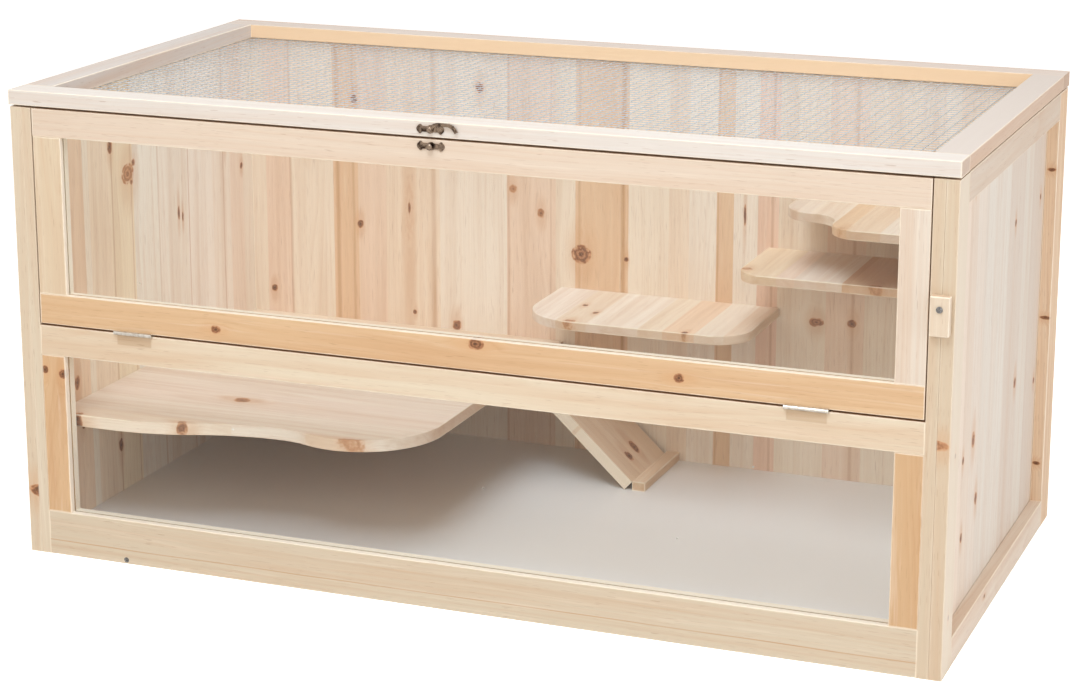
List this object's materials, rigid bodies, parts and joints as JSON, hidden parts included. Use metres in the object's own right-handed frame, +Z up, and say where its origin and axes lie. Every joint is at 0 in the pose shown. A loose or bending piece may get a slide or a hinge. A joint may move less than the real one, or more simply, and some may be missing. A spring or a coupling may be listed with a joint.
{
  "type": "hamster cage",
  "caption": "Two-storey wooden hamster cage with glazed front, drop-down door, meshed lift-up lid, wavy platform, ramp, stepped shelves, hook latch and turn button.",
  "frame": {"origin": "middle of the underside, on the surface that the cage stands on", "axes": "+X to the right as seen from the front, +Y towards the back, +Z up"},
  "size_m": [1.152, 0.6073, 0.5804],
  "materials": {
    "pine": "planed and unvarnished, pale yellow-pink with darker grain",
    "warm_pine": "planed and unvarnished, orange heartwood with knots",
    "lid_pine": "planed and unvarnished, nearly white sapwood",
    "board_wood": "edge-glued fir lamellae, planed, unvarnished",
    "shelf_wood": "edge-glued fir lamellae, sanded, rounded edges",
    "dowel_wood": "smooth beech",
    "floor_white": "matt white melamine facing",
    "clear_acrylic": "clear and glossy",
    "galvanised_wire": "dull bright zinc",
    "hinge_steel": "zinc plated, satin",
    "screw_steel": "zinc plated",
    "dark_screw": "black oxide",
    "antique_bronze": "dark bronze plating, worn bright on the edges"
  },
  "bodies": {
    "carcass": {"side_panel_left": "board_wood", "side_panel_right": "board_wood", "back_panel": "board_wood", "side_stile_front_left": "pine", "side_stile_front_right": "pine", "side_stile_rear_left": "pine", "side_stile_rear_right": "pine", "side_top_rails": "pine", "side_bottom_rails": "pine", "back_stile_left": "pine", "back_stile_right": "pine", "back_top_rail": "pine", "back_bottom_rail": "pine", "front_bottom_rail": "pine", "middle_rail": "pine", "floor_bearers": "pine", "platform_cleats": "pine", "lower_stile_left": "warm_pine", "lower_stile_right": "warm_pine", "platform": "shelf_wood", "ramp": "shelf_wood", "ramp_stop_batten": "shelf_wood", "shelf_low": "shelf_wood", "shelf_middle": "shelf_wood", "shelf_high": "shelf_wood", "carcass_dowels": "dowel_wood", "floor_board": "floor_white", "lower_pane": "clear_acrylic", "hinge_fixed_leaves": "hinge_steel", "hinge_pins": "hinge_steel", "hinge_fixed_screws": "screw_steel", "floor_screws": "screw_steel", "panel_screws": "screw_steel", "rail_screw": "dark_screw", "turn_button_screw": "dark_screw"},
    "door": {"door_top_rail": "pine", "door_bottom_rail": "warm_pine", "door_stile_left": "pine", "door_stile_right": "pine", "door_pane": "clear_acrylic", "door_dowels": "dowel_wood", "door_hinge_moving_leaves": "hinge_steel", "door_hinge_moving_screws": "screw_steel", "latch_keeper_plate": "antique_bronze", "latch_keeper_screws": "antique_bronze", "latch_knob": "antique_bronze"},
    "lid": {"lid_front_rail": "lid_pine", "lid_rear_rail": "lid_pine", "lid_side_rail_left": "lid_pine", "lid_side_rail_right": "lid_pine", "lid_mesh": "galvanised_wire", "mesh_staples": "galvanised_wire", "lid_dowels": "dowel_wood", "lid_hinge_moving_leaves": "hinge_steel", "lid_hinge_moving_screws": "screw_steel", "latch_plate": "antique_bronze", "latch_plate_screws": "antique_bronze", "latch_rivet": "antique_bronze"},
    "button": {"turn_button": "pine"},
    "hook": {"latch_hook": "antique_bronze"}
  },
  "joints": [
    {"name": "door_hinge", "type": "hinge", "parent": "carcass", "child": "door", "pos_m": [0, -0.2975, 0.2942], "axis": [1, 0, 0], "range_deg": [0, 175]},
    {"name": "lid_hinge", "type": "hinge", "parent": "carcass", "child": "lid", "pos_m": [0, 0.2975, 0.5612], "axis": [-1, 0, 0], "range_deg": [0, 190]},
    {"name": "turn_button_pivot", "type": "hinge", "parent": "carcass", "child": "button", "pos_m": [0.56, -0.3003, 0.4215], "axis": [0, 1, 0], "continuous": true},
    {"name": "latch_hook_pivot", "type": "hinge", "parent": "lid", "child": "hook", "pos_m": [-0.027, -0.29905, 0.5715], "axis": [0, 1, 0], "range_deg": [-90, 90]}
  ]
}
